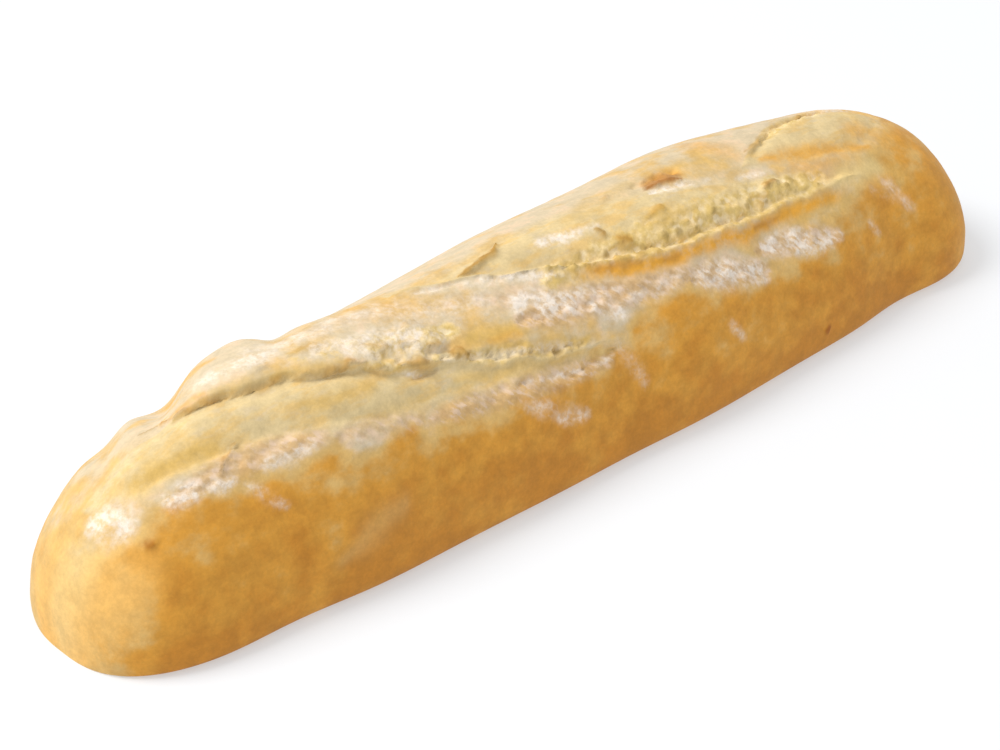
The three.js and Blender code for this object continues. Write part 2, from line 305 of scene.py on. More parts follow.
# Wrinkled skin under flour.
WRINKLED = (
    ((-52, -51), (-2, -59), 0, 3.0, 0.8),
    ((-26, -24), (-8, -34), 0, 3.5, 0.6),
    ((-20, -36), (28, -45), 0, 4.2, 1.0),
    ((28, -46), (50, -55), 0, 3.8, 1.0),
    ((50, -48), (77, -55), 0, 3.4, 0.9),
    ((-112, -32), (-78, -42), 0, 3.4, 0.8),
    ((-75, -44), (-55, -50), 0, 3.0, 0.6),
    ((-70, 0), (-30, -20), 0, 6.0, 0.4),
    ((99, -44), (104, -56), 0, 2.6, 0.5),
    ((-28, -61), (-12, -70), 0, 2.6, 0.5),
)
# Pale yellow patches; the first is a painted highlight on a lump at the end of slash 1's lip, and the
# fourth paints light where slash 2's lip ends.
PALED_AND_HIGHLIT = (
    ((-9, -58), (0, -57), 0.5, 1.2, 0.6),
    ((-82, -79), (-65, -70), 0.6, 3.0, 0.22),
    ((100, -4), (108, -14), 0, 3.0, 0.3),
    ((84, -38.5), (99, -38), 0, 3.5, 0.8),
    ((-134, 0), (-131, -20), 0, 5.0, 0.5),
)
# Bright golden skin.
GILDED = (
    ((-134, -44), (-126, -54), 0, 5.5, 0.9),
    ((-134.5, 70), (-134.5, -70), 0, 4.5, 0.9),
    ((-126, 20), (-114, 5), 0, 7.0, 0.25),
)
# Skin that is browner than what is around it.
BROWNED = (
    ((-72, -55), (-58, -53), 0, 3.0, 0.8),
    ((-76, -53), (-70, -55), 0, 2.5, 0.5),
    ((9, -54), (29, -53), 0, 4.2, 0.8),
    ((-86, -50), (-75, -50), 0, 2.6, 0.4),
    ((80, -52), (92, -48), 0, 3.2, 0.5),
    ((-3, -60), (2, -59), 0, 1.4, 0.5),
)
# The fields that come straight from marks: those with torn edges, and soft ones, which stop at
# scorched crust.
TORN_MARKS = dict(torn=TORN, tanned=TANNED_AND_HOLLOW_SHADE, toasted=TOASTED, burnt=BURNT, paled=PALED_AND_HIGHLIT, gilded=GILDED)
SOFT_MARKS = dict(floured=FLOURED, wrinkled=WRINKLED)
# A mark narrows towards its ends by this share of its width, and by less if it is shorter than this
# many times its half width.
END_NARROWING = 0.55
FULL_NARROWING_RATIO = 8
NARROWING_POWER = 3
# Painted shade darkens the crust over a wider band than its hollow, which lies some degrees higher up.
SHADE_SPREAD = 1.7
SHADE_SHIFT = -0.8
SHADE_FULL_DEPTH = 1.2

# Noises over the crust: the amount, the size of the largest lumps in millimetres, a seed, how many
# layers there are, and the share that each layer has of the one before it.
NOISES = dict(
    wander=(0.8, 8, 11, 3, 0.6),
    ragged=(0.8, 5, 21, 3, 0.6),
    frayed=(0.7, 2.4, 25, 2, 0.6),
    crumb=(1.0, 2.4, 71, 3, 0.6),
    wrinkle=(1.0, 1.0, 101, 1, 0.5),
    wrinkle_lump=(0.5, 2.0, 105, 2, 0.5),
    broad_browning=(0.2, 22, 91, 2, 0.5),
    fine_browning=(0.17, 6, 95, 2, 0.5),
    broad_skin=(0.12, 14, 31, 2, 0.5),
    fine_skin=(0.05, 3, 41, 2, 0.5),
    flour=(0.1, 1.8, 81, 2, 0.6),
)
# Pores of the crumb: how far apart they are in millimetres, a seed, and the least and the greatest
# radius as a share of that distance.
LARGE_PORES = (3.6, 51, 0.2, 0.5)
SMALL_PORES = (2.0, 61, 0.25, 0.6)
SMALL_PORE_DEPTH = 0.6
# Numbers that mix the bits of a cell's place into a random number.
HASH_FACTORS = (374761393, 668265263, 2246822519)
HASH_SEED = (40503, 977)
HASH_ROUNDS = ((15, 2654435761), (13, 1274126177))
HASH_LAST_SHIFT = 16
HASH_RANGE = 2.0**32

# The fine relief: rises and depths in millimetres, and how much rougher ridges and hollows are.
CRUMB_RISE = 0.45
PORE_DEPTH = 0.55
WRINKLE_RISE = 0.42
RIDGE_ROUGHNESS = 0.8
HOLLOW_ROUGHNESS = 0.3
RIDGE_CRUMB_HIGHLIGHT = 0.6  # how much more painted highlight the crumb on a ridge has
LEAST_GIRTH = 0.1  # so that torn edges don't wander without end at the tips
# Wrinkles and strokes slant over the crust, towards +X and the near foot: how long and how thin they
# are, in millimetres, as relief and as colour.
WRINKLE_LONG = 2.8
WRINKLE_THIN = 1.0
STROKE_LONG = 4.2
STROKE_THIN = 2.0

# How browned the skin is: 0 is pale and 1 is brown. A step is an amount, and the places where it
# begins and where it is full.
BROWNED_LEAST = 0.05
BROWNED_MOST = 1.5
BROWNED_MIDDLE = (0.07, -60, 0)
BROWNED_PLUS_END = (0.25, 60, 100)
BROWNED_MINUS_END = (0.25, -100, -115)
# The turn below which the near flank is well browned, how much higher it lies towards each end, how
# many degrees off it the brown begins and is full, and how much farther its edge wanders.
BROWN_FROM = -59
BROWN_FROM_MINUS = (29, -60, -130)
BROWN_FROM_PLUS = (37, 76, 116)
BROWN_EDGE = (10, -8)
BROWN_EDGE_WANDER = 2
BROWNED_ABOVE_EDGE = (0.1, 22, 4)
BROWNED_FAR_FLANK = (0.75, 35, 70)
BROWNED_FEET = (0.4, 68, 90)
BROWNED_TIPS = ((0.55, -121, -134), (1.0, 114, 130))

# The fine mesh: stations along X and columns around the loaf.
END_ZONE = 20.0
END_STATIONS = 45
FIRST_END_SHARE = 0.03
END_CROWDING = 3
MIDDLE_STEPS = 320
COLUMN_STEPS = ((-90, -60, 20), (-60, 16, 128), (16, 90, 44))
RIM_ROWS = 7
RIM_ROUND = 1.6
RIM_POWER = 2.4
BASE_COLUMNS = 12
BASE_FIELDS = dict(browned=1.3)  # fields of the base, where they aren't 0
BASE_FIELDS_FADE = 12
LEAST_LENGTH = 1e-12

# Colours as linear red, green and blue.
PALE_SKIN = (0.655, 0.535, 0.35)
PINK_SKIN = (0.70, 0.495, 0.33)
GILT_SKIN = (0.81, 0.46, 0.12)
GOLDEN_SKIN = (0.68, 0.44, 0.15)
BROWN_SKIN = (0.65, 0.305, 0.036)
DEEP_SKIN = (0.51, 0.20, 0.015)
CREAM_BLOOM = (0.685, 0.535, 0.28)
GOLDEN_BLOOM = (0.72, 0.47, 0.155)
# Pale yellow, partly painted highlight.
YELLOW_EDGE_AND_HIGHLIGHT = (0.80, 0.60, 0.26)
TOASTED_EDGE = (0.76, 0.37, 0.042)
CRUMB = (0.84, 0.65, 0.34)
# Also painted shade, laid in the crumb's dents.
CRUMB_SHADE = (0.66, 0.47, 0.16)
GOLDEN_CRUMB = (0.74, 0.48, 0.14)
# Painted shade in the pores of the crumb.
PAINTED_PORE_SHADE = (0.40, 0.27, 0.08)
# Painted shade, multiplied over the crust in and around its hollows.
PAINTED_GAP_SHADE = (0.66, 0.50, 0.23)
# The crust's own tan, and painted shade where its marks lie on hollows and creases.
TAN_AND_HOLLOW_SHADE = (0.66, 0.43, 0.12)
BURNT_EDGE = (0.41, 0.175, 0.04)
# Painted highlight, laid on crumb that stands up.
PAINTED_CRUMB_HIGHLIGHT = (0.90, 0.77, 0.53)
WRINKLED_SKIN = (0.70, 0.46, 0.25)
# Painted shade in the furrows and dark strokes of wrinkled skin.
WRINKLE_SHADE = (0.56, 0.34, 0.14)
FLOUR = (0.89, 0.80, 0.70)
# Partly the skin's own pink, partly painted highlight on raised wrinkles and light strokes.
PINK_BUMP_HIGHLIGHT = (0.79, 0.59, 0.43)

# Grains of the material: the size of the lumps in millimetres, detail, roughness and stretch, and
# then the two noise values that it is drawn between, and what it is at each of them.
GRAINS = dict(
    broad_browning=((10, 3, 0.55, None), (0.25, 0.75, -0.22, 0.22)),
    fine_browning=((3.5, 4, 0.6, (0.6, 1, 1)), (0.25, 0.75, -0.14, 0.14)),
    pink_skin=((4, 4, 0.6, None), (0.48, 0.65, 0, 0.45)),
    golden_bloom=((3.2, 4, 0.6, (0.35, 1, 1)), (0.42, 0.66, 0, 0.7)),
    pale_bloom=((2.6, 4, 0.6, (0.4, 1, 1)), (0.52, 0.7, 0, 0.5)),
    shaded_crumb=((2.4, 4, 0.55, None), (0.35, 0.65, 0, 1)),
    golden_crumb=((6, 3, 0.55, None), (0.5, 0.7, 0, 0.6)),
    torn_edge=((3, 4, 0.7, None), (0.3, 0.7, -0.2, 0.2)),
    uneven_toast=((3, 4, 0.6, None), (0.25, 0.6, 0.55, 1.05)),
    flour_drifts=((4.5, 4, 0.6, None), (0.3, 0.62, 0.4, 1.2)),
    flour_grains=((1.1, 3, 0.6, None), (0.3, 0.65, 0.6, 1.1)),
    speckles=((0.8, 3, 0.7, None), (0.3, 0.7, 0.94, 1.05)),
    clouds=((4, 4, 0.6, None), (0.3, 0.7, 0.9, 1.07)),
)
CRUST_BUMPS = (1.3, 4, 0.6, None)
FLOUR_BUMPS = (0.7, 3, 0.55, None)
SMOOTH_CRUST_BUMP = 0.3  # the share of its bumps that untorn crust has
STROKE_DETAIL = 2
BUMP_STRENGTH = 0.5
BUMP_HEIGHT = 0.4
CRUST_SPECULAR = 0.3
# Where each look begins and where it is full, in the value that it goes by, and what it is there.
SHOWS = dict(
    golden_skin=(0, 0.5, 0, 1),
    brown_skin=(0.45, 1.0, 0, 1),
    deep_skin=(0.9, 1.5, 0, 0.8),
    # Painted highlight on raised crumb and painted shade in its dents.
    raised_crumb_highlight=(0.15, 0.8, 0, 0.7),
    crumb_dent_shade=(-0.1, -0.7, 0, 0.8),
    torn=(0.2, 0.7, 0, 1),
    # Painted shade in the pores.
    pore=(0.15, 0.8, 0, 0.75),
    wrinkled_skin=(0.1, 1.0, 0, 0.6),
    wrinkled_strokes=(0.15, 0.9, 0, 1),
    swept_flour=(0.36, 0.56, -0.45, 0.15),
    flour=(0.05, 1.1, 0, 0.9),
    # Painted highlight on raised wrinkles and light strokes, painted shade in furrows and dark strokes.
    raised_wrinkle_highlight=(0.05, 0.6, 0, 0.4),
    sunken_wrinkle_shade=(-0.1, -0.7, 0, 0.3),
    stroke_highlight=(0.5, 0.64, 0, 0.8),
    stroke_shade=(0.48, 0.36, 0, 0.45),
    # Painted shade over the hollows and the bands beside them.
    painted_gap_shade=(0.1, 0.8, 0, 1),
    flour_roughness=(0, 0.8, 0.6, 0.95),
)

# The table and the light, in metres.
TABLE_HALF = 3.0
TABLE_COLOUR = (0.46, 0.47, 0.49)
TABLE_ROUGHNESS = 0.9
TABLE_GLOW_COLOUR = (0.95, 0.98, 1.0)
TABLE_GLOW = 0.43
SURROUND = 0.75
KEY_PLACE = (-0.6, 0.44, 1.15)
KEY_TARGET = (0.02, 0, 0)
KEY_SIZE = 0.7
KEY_POWER = 13.6
KEY_COLOUR = (1, 0.98, 0.95)
# The camera: its lens and sensor in millimetres, its angles in degrees, what it looks at and from how
# far, in the loaf's millimetres, and the range that it sees, in metres.
LENS = 99.0
SENSOR_WIDTH = 36
CAMERA_AZIMUTH = -42.99
CAMERA_ELEVATION = 32.36
CAMERA_TARGET = (-18.36, -9.9, 20.0)
CAMERA_DISTANCE = 616.6
CAMERA_CLIP = (0.01, 20)


def bell(value):
    return np.exp(-value * value)


def smooth(start, end, value):
    share = np.clip((value - start) / (end - start), 0, 1)
    return share * share * (3 - 2 * share)


def mix(start, end, share):
    return start + (end - start) * share


def step(amount, start, end, value):
    """An amount that comes in between two values."""
    return amount * smooth(start, end, value)


def ease(share):
    """A share from 0 to 1 that has no slope and no bend at its ends."""
    return share * share * share * (share * (share * 6 - 15) + 10)


def cell_random(cells, seed):
    """A random number from 0 to 1 for each cell of whole-numbered coordinates."""
    seed_factor, seed_start = HASH_SEED
    code = np.uint32(seed * seed_factor + seed_start)
    with np.errstate(over="ignore"):
        for axis, factor in enumerate(HASH_FACTORS):
            code = code + cells[..., axis].astype(np.int64).astype(np.uint32) * np.uint32(factor)
        for shift, factor in HASH_ROUNDS:
            code = (code ^ (code >> np.uint32(shift))) * np.uint32(factor)
        code = code ^ (code >> np.uint32(HASH_LAST_SHIFT))
    return code / HASH_RANGE


def lumps(points, size, seed):
    """Smooth noise from -1 to 1 with lumps of about that size."""
    scaled = points / size
    cells = np.floor(scaled)
    share = ease(scaled - cells)
    total = 0.0
    for corner in np.ndindex(2, 2, 2):
        offset = np.array(corner)
        weight = np.prod(np.where(offset == 1, share, 1 - share), axis=-1)
        total = total + weight * cell_random(cells + offset, seed)
    return total * 2 - 1


def noise(points, name):
    """One of the noises over the crust: a sum of layers, each with lumps half the size of the last."""
    amount, size, seed, count, fade = NOISES[name]
    total = 0.0
    for i in range(count):
        total = total + fade**i * lumps(points, size / 2**i, seed + i)
    return amount * total


def pores(points, size, seed, smallest, largest):
    """Round pits scattered about that far apart: 1 at the middle of one, 0 between them."""
    scaled = points / size
    cells = np.floor(scaled)
    deepest = np.zeros(points.shape[:-1])
    for corner in np.ndindex(3, 3, 3):
        cell = cells + np.array(corner) - 1
        middle = cell + np.stack([cell_random(cell, seed + i) for i in range(3)], axis=-1)
        radius = mix(smallest, largest, cell_random(cell, seed + 3) ** 2)
        far = np.sum((scaled - middle) ** 2, axis=-1)
        deepest = np.maximum(deepest, 1 - far / (radius * radius))
    return deepest


def away_from(x, turn, girth, mark):
    """How far each point of the crust is from a mark's line, its share along it, and the line's length."""
    (start_x, start_turn), (end_x, end_turn), sag, _, _ = mark
    start_girth, end_girth = (float(section_at(np.array(float(at)))["girth"]) for at in (start_x, end_x))
    start = np.array([start_x, start_turn * start_girth])
    run = np.array([end_x, end_turn * end_girth]) - start
    long = float(np.hypot(*run))
    past_start = x - start[0], turn * girth - start[1]
    share = np.clip((past_start[0] * run[0] + past_start[1] * run[1]) / long**2, 0, 1)
    bend = sag * 4 * share * (1 - share) / long
    gap_x = past_start[0] - share * run[0] + bend * run[1]
    gap_around = past_start[1] - share * run[1] - bend * run[0]
    return np.hypot(gap_x, gap_around), share, long


def marked(x, turn, girth, marks, spread=1.0):
    """The greatest amount that any of the marks has at each point, fading out over its half width."""
    most = np.zeros_like(turn)
    for mark in marks:
        half_width, amount = mark[3:]
        away, share, long = away_from(x, turn, girth, mark)
        narrowing = END_NARROWING * min(1, long / (FULL_NARROWING_RATIO * half_width))
        narrowed = spread * half_width * (1 - narrowing * np.abs(2 * share - 1) ** NARROWING_POWER)
        most = np.maximum(most, amount * bell(away / narrowed))
    return most


def round_off(x, ends):
    """0 at the tips of the loaf and 1 where neither end rounds off."""
    total = 1.0
    for (reach, power), gone in zip(ends, (x + HALF_LENGTH, HALF_LENGTH - x)):
        share = np.clip(gone / reach, 0, 1)
        total = total * (1 - (1 - share) ** power) ** (1 / power)
    return total


def section_at(x):
    """The plain cross-section at x. Its girth is how many millimetres of crust a degree of turn spans."""
    along = x / HALF_LENGTH
    plan = round_off(x, PLAN_END)
    side = round_off(x, SIDE_END)
    half_width = HALF_WIDTH * plan * (1 - WIDTH_WAIST * along**2)
    height = HEIGHT * mix(END_HEIGHT_SHARE, 1, side) * (1 + HEIGHT_LEAN * along - HEIGHT_WAIST * along**2)
    foot = np.minimum(FOOT_HEIGHT * mix(FOOT_TIP_SHARE, 1, side), FOOT_CEILING * height)
    near_swell = sum(rise * bell((x - at) / reach) for at, rise, reach in NEAR_WALL_SWELLS)
    return dict(
        half_width=half_width,
        near_width=half_width + plan * near_swell,
        height=height,
        foot=foot,
        shift=BOW * (along**2 - BOW_BALANCE),
        girth=(half_width + height - foot) / 2 * math.pi / 180,
    )


def slash_at(slash, x):
    """Where one slash lies at x: its middle and edges as turns, and how far it gapes."""
    (start_x, start_turn), (end_x, end_turn) = slash["start"], slash["end"]
    share = np.clip((x - start_x) / (end_x - start_x), 0, 1)
    fullest = slash["fullest"]
    bent = np.where(share < fullest, 0.5 * share / fullest, 1 - 0.5 * (1 - share) / (1 - fullest))
    width = np.clip(np.sin(math.pi * bent), 0, 1) * ((x > start_x) & (x < end_x))
    middle = mix(start_turn, end_turn, share) + slash["sag"] * 4 * share * (1 - share)
    half_turn = slash["half_turn"] * width ** slash["taper"]
    hook = slash["hook"] * np.exp((start_x - x) / HOOK_REACH)
    return dict(
        gape=np.sqrt(width),
        middle=middle,
        half_turn=half_turn,
        far=middle + half_turn + hook,
        near=middle - half_turn,
    )


def edge(past_edge, fade):
    """1 at an edge of a slash, blending in from inside it and fading away outside it."""
    return smooth(-EDGE_BLEND, 0, past_edge) * np.exp(-np.maximum(past_edge, 0) / fade)


def groove(past_edge):
    """1 along the crevice or the trough just inside an edge of a slash."""
    return bell((past_edge + CREVICE_INSET) / CREVICE_HALF_WIDTH)


def lean_over(past_edge):
    """How far a torn edge leans over its opening."""
    lean = LEAN * bell((past_edge - LEAN_BEHIND) / LEAN_REACH)
    return lean - bell((past_edge + CREVICE_INSET) / UNDERCUT_REACH)


def slash_form(slash, x, turn, girth):
    """The relief of one slash, how far its edges lean over, and where it is open, for each point."""
    cut = slash_at(slash, x)
    gape = cut["gape"]
    past_far = (turn - cut["far"]) * girth
    past_near = (cut["near"] - turn) * girth
    ear_share = smooth(slash["ear_from"], slash["ear_full"], x)
    ear_share = ear_share * smooth(slash["ear_gone"], slash["ear_last"], x)
    across = np.abs(turn - cut["middle"]) / np.maximum(cut["half_turn"], LEAST_HALF_TURN)
    across = np.clip(across, 0, 1)
    ear_rise = slash["ear"] * edge(past_far, EAR_FADE) - slash["crevice"] * groove(past_far)
    rise = ear_share * ear_rise - slash["trough"] * groove(past_near)
    rise = rise + slash["lip"] * edge(past_near, slash["lip_fade"]) + slash["bloom"] * (1 - across * across)
    curl = slash["lip_curl"] * lean_over(past_near) - ear_share * slash["curl"] * lean_over(past_far)
    inside = smooth(slash["soft_far"], -slash["soft_far"], past_far)
    inside = inside * smooth(slash["soft"], -slash["soft"], past_near) * (gape > 0)
    scorched = slash["scorched"] * smooth(*SCORCHED_ALONG, x) * smooth(*SCORCHED_GAPE, gape)
    scorched = scorched * bell((past_near - SCORCHED_OFF_LIP) / SCORCHED_REACH)
    return dict(rise=gape * rise, curl=gape * curl, inside=inside, scorched=scorched)


def plain_points(x, turn, section):
    """Points of the plain crust, before any relief."""
    angle = np.radians(turn)
    across = np.sign(angle) * np.abs(np.sin(angle)) ** (2 / SECTION_POWER)
    up = np.maximum(np.cos(angle), 0) ** (2 / SECTION_POWER)
    reach = np.where(turn < 0, section["near_width"], section["half_width"])
    y = section["shift"] + reach * across
    z = section["foot"] + (section["height"] - section["foot"]) * up
    return np.stack(np.broadcast_arrays(x, y, z), axis=-1)


def stations():
    """The places of the rings along X, closer and closer towards the tips."""
    share = np.linspace(FIRST_END_SHARE, 1, END_STATIONS, endpoint=False)
    end = -HALF_LENGTH + END_ZONE * share**END_CROWDING
    middle = np.linspace(-HALF_LENGTH + END_ZONE, HALF_LENGTH - END_ZONE, MIDDLE_STEPS + 1)
    return np.concatenate([end, middle, -end[::-1]])


def crust_columns():
    parts = [np.linspace(start, end, steps, endpoint=False) for start, end, steps in COLUMN_STEPS]
    return np.concatenate([*parts, [float(FOOT_TURN)]])


def unit(vectors):
    return vectors / np.maximum(np.linalg.norm(vectors, axis=-1, keepdims=True), LEAST_LENGTH)


def outwards(points):
    """Unit vectors straight out of the surface."""
    along = np.gradient(points, axis=0)
    around = np.gradient(points, axis=1)
    return unit(np.cross(around, along))


class Places:
    """Each point of the plain crust, and where its torn edges are looked up: a little beside it."""

    def __init__(self):
        self.x = stations()[:, None]
        self.turn = crust_columns()[None, :] * np.ones_like(self.x)
        self.section = section_at(self.x)
        self.girth = self.section["girth"]
        self.arc = self.turn * self.girth
        self.plain = plain_points(self.x, self.turn, self.section)
        self.wander = noise(self.plain, "wander")
        least_girth = np.maximum(self.girth, LEAST_GIRTH)
        self.torn_turn = self.turn + self.wander / least_girth
        self.frayed_turn = self.torn_turn + noise(self.plain, "frayed") / least_girth
        self.ragged_x = self.x + noise(self.plain, "ragged")

    def torn_marks(self, marks):
        """The amount of marks whose edges are torn."""
        return marked(self.ragged_x, self.torn_turn, self.girth, marks)

    def slanted(self, long, thin):
        """Places along and across lines that slant towards +X and the near foot."""
        return (self.x - self.arc) / long, (self.x + self.arc) / thin


def large_relief(at, forms):
    """The crust with its slashes, swells and dents, and with torn edges that lean over."""
    rise = sum(form["rise"] for form in forms)
    for at_x, at_turn, swell, reach, spread, lean in SWELLS:
        around = at.turn - at_turn
        rise = rise + swell * bell((at.x - at_x - lean * around) / reach) * bell(around / spread)
    for wave, along_x, around_loaf, phase in WAVES:
        rise = rise + wave * np.sin(along_x * at.x + around_loaf * at.turn + phase)
    curl = sum(form["curl"] for form in forms)
    fade = smooth(FOOT_TURN, RELIEF_FULL_TURN, np.abs(at.turn))
    fade = fade * smooth(HALF_LENGTH, HALF_LENGTH - RELIEF_TIP_FADE, np.abs(at.x))
    angle = np.radians(at.turn)
    away_from_middle = np.stack([np.zeros_like(angle), np.sin(angle), np.cos(angle)], axis=-1)
    across = unit(np.gradient(at.plain, axis=1))
    return at.plain + (rise * fade)[..., None] * away_from_middle + (curl * fade)[..., None] * across


def fine_relief(at, fields, ridge, rough, open_pores):
    """How far the fine skin stands out of the large forms."""
    hollow = marked(at.ragged_x, at.frayed_turn, at.girth, HOLLOWS)
    fine = noise(at.plain, "broad_skin") + noise(at.plain, "fine_skin")
    fine = fine + fields["torn"] * (CRUMB_RISE * rough - PORE_DEPTH * open_pores)
    fine = fine + WRINKLE_RISE * fields["wrinkles"]
    fine = fine + ridge * (1 + RIDGE_ROUGHNESS * rough) - hollow * (1 + HOLLOW_ROUGHNESS * rough)
    fine = fine + fields["floured"] * noise(at.plain, "flour")
    return fine * smooth(FOOT_TURN, FINE_RELIEF_FULL_TURN, np.abs(at.turn))


def browning(at):
    """How browned the skin is."""
    x, turn = at.x, at.turn
    lowest = BROWN_FROM + step(*BROWN_FROM_MINUS, x) + step(*BROWN_FROM_PLUS, x)
    above = turn - lowest
    browned = BROWNED_LEAST + step(*BROWNED_MIDDLE, x)
    browned = browned + step(*BROWNED_PLUS_END, x) + step(*BROWNED_MINUS_END, x)
    browned = browned + (1 - browned) * smooth(*BROWN_EDGE, above + BROWN_EDGE_WANDER * at.wander)
    browned = browned + step(*BROWNED_FAR_FLANK, turn)
    browned = browned + step(*BROWNED_ABOVE_EDGE, above) * (1 - smooth(*BROWNED_PLUS_END[1:], x))
    browned = browned + step(*BROWNED_FEET, np.abs(turn))
    browned = browned + noise(at.plain, "broad_browning") + noise(at.plain, "fine_browning")
    browned = browned + (1 - browned) * at.torn_marks(BROWNED)
    for tip_browned, start, end in BROWNED_TIPS:
        browned = mix(browned, tip_browned, smooth(start, end, x))
    return np.clip(browned, 0, BROWNED_MOST)


def mark_fields(at, forms):
    """The fields that come straight from marks and slashes."""
    fields = {name: at.torn_marks(marks) for name, marks in TORN_MARKS.items()}
    # Painted shade: the hollows looked up wider and a little higher up.
    shade = marked(at.ragged_x, at.frayed_turn + SHADE_SHIFT, at.girth, HOLLOWS, SHADE_SPREAD)
    scorched = sum(form["scorched"] for form in forms)
    for name, marks in SOFT_MARKS.items():
        fields[name] = marked(at.x, at.turn, at.girth, marks) * (1 - scorched)
    fields["toasted"] = np.maximum(fields["toasted"], scorched)
    fields["inside"] = np.maximum.reduce([form["inside"] for form in forms])
    fields["shaded"] = np.clip(shade / SHADE_FULL_DEPTH, 0, 1)
    return fields


def crust(at):
    """The crust's points and its named fields, over stations and columns."""
    forms = [slash_form(slash, at.x, at.torn_turn, at.girth) for slash in SLASHES]
    fields = mark_fields(at, forms)
    torn = fields["torn"]
    ridge = at.torn_marks(RIDGES)
    rough = noise(at.plain, "crumb")
    small_pores = SMALL_PORE_DEPTH * pores(at.plain, *SMALL_PORES)
    open_pores = np.maximum(pores(at.plain, *LARGE_PORES), small_pores)
    slanted = np.stack([*at.slanted(WRINKLE_LONG, WRINKLE_THIN), 0 * at.arc], axis=-1)
    wrinkles = noise(slanted, "wrinkle") + noise(at.plain, "wrinkle_lump")
    # Painted shade in the crumb's pores, where they are torn open.
    fields["pore"] = torn * open_pores
    # Painted light of the crumb: lighter where it stands up, darker in its dents.
    fields["crumbs"] = torn * rough + RIDGE_CRUMB_HIGHLIGHT * ridge * torn
    fields["wrinkles"] = fields["wrinkled"] * wrinkles
    fields["stroke_along"], fields["stroke_across"] = at.slanted(STROKE_LONG, STROKE_THIN)
    fields["browned"] = browning(at)
    points = large_relief(at, forms)
    fine = fine_relief(at, fields, ridge, rough, open_pores)
    return points + fine[..., None] * outwards(points), fields


def rim_points(at, side):
    """Rows of the wall from the crust's foot round to the base, as (stations, rows, 3)."""
    section = at.section
    reach = section["near_width"] if side < 0 else section["half_width"]
    inner = reach * (1 - FOOT_TUCK) - RIM_ROUND * np.clip(section["half_width"] / HALF_WIDTH, 0, 1)
    turned = np.linspace(0, math.pi / 2, RIM_ROWS + 1)[1:]
    y = section["shift"] + side * mix(inner, reach, np.cos(turned) ** (2 / RIM_POWER))
    z = section["foot"] * (1 - np.sin(turned) ** (2 / RIM_POWER))
    return np.stack(np.broadcast_arrays(at.x, y, z), axis=-1)


def base_points(far, near):
    """Rows across the flat base, between its far and its near edge."""
    share = np.linspace(0, 1, BASE_COLUMNS + 2)[1:-1][None, :, None]
    return mix(far, near, share)


def tip_points():
    """The two points that close the loaf, at the ends of its bowed middle line."""
    tips = []
    for x in (-HALF_LENGTH, HALF_LENGTH):
        tip = section_at(np.array(x))
        tips.append([x, float(tip["shift"]), float(tip["height"]) * TIP_LEVEL])
    return tips


def skin_faces(count, across):
    """Four-sided faces between the rings, and then a fan of triangles from each tip to its ring."""
    station = np.arange(count - 1)[:, None]
    column = np.arange(across)[None, :]
    following = (column + 1) % across
    low, low_next = station * across + column, station * across + following
    high, high_next = low + across, low_next + across
    quads = np.stack([low, high, high_next, low_next], axis=-1).reshape(-1, 4)
    ring = np.arange(across)
    ring_next = (ring + 1) % across
    minus_tip = count * across
    last = (count - 1) * across
    minus_fan = np.stack([np.full(across, minus_tip), ring, ring_next], axis=-1)
    plus_fan = np.stack([np.full(across, minus_tip + 1), last + ring_next, last + ring], axis=-1)
    return quads.tolist(), [*minus_fan.tolist(), *plus_fan.tolist()]


def in_frame(vertices):
    """The vertices in metres, in the middle of the CAD model's box, as that is centred on its outline."""
    middle_y = (vertices[:, 1].min() + vertices[:, 1].max()) / 2
    vertices[:, 1] -= middle_y
    vertices *= MM
    vertices[:, 0] += (LOAF_LOW.x + LOAF_HIGH.x) / 2
    vertices[:, 1] += (LOAF_LOW.y + LOAF_HIGH.y) / 2
    return vertices


def add_fields(mesh, fields, inward, count, across):
    """The crust's fields as attributes of the mesh, carried on over the rims, the base and the tips."""
    for name, values in fields.items():
        full = mix(values[:, -1:], BASE_FIELDS.get(name, 0.0), inward) * np.ones((count, across))
        wide = values.shape[1]
        full[:, :wide] = values
        full[:, wide : wide + RIM_ROWS] = values[:, -1:]
        full[:, -RIM_ROWS:] = values[:, :1]
        at_tips = [full[0].mean(), full[-1].mean()]
        layer = mesh.attributes.new(name, "FLOAT", "POINT")
        layer.data.foreach_set("value", np.concatenate([full.ravel(), at_tips]).astype(np.float32))


def loaf_mesh():
    at = Places()
    points, fields = crust(at)
    far = rim_points(at, 1)
    near = rim_points(at, -1)[:, ::-1]
    base = base_points(far[:, -1:], near[:, :1])
    grid = np.concatenate([points, far, base, near], axis=1)
    count, across = grid.shape[:2]
    vertices = in_frame(np.concatenate([grid.reshape(-1, 3), tip_points()]))
    quads, fans = skin_faces(count, across)
    mesh = bpy.data.meshes.new("loaf_skin")
    mesh.from_pydata(vertices.tolist(), [], quads + fans)
    mesh.update()
    inward = smooth(HALF_LENGTH, HALF_LENGTH - BASE_FIELDS_FADE, np.abs(at.x))
    add_fields(mesh, fields, inward, count, across)
    # The fans stay flat, or the normals of the base would darken them.
    mesh.polygons.foreach_set("use_smooth", [True] * len(quads) + [False] * len(fans))
    return mesh


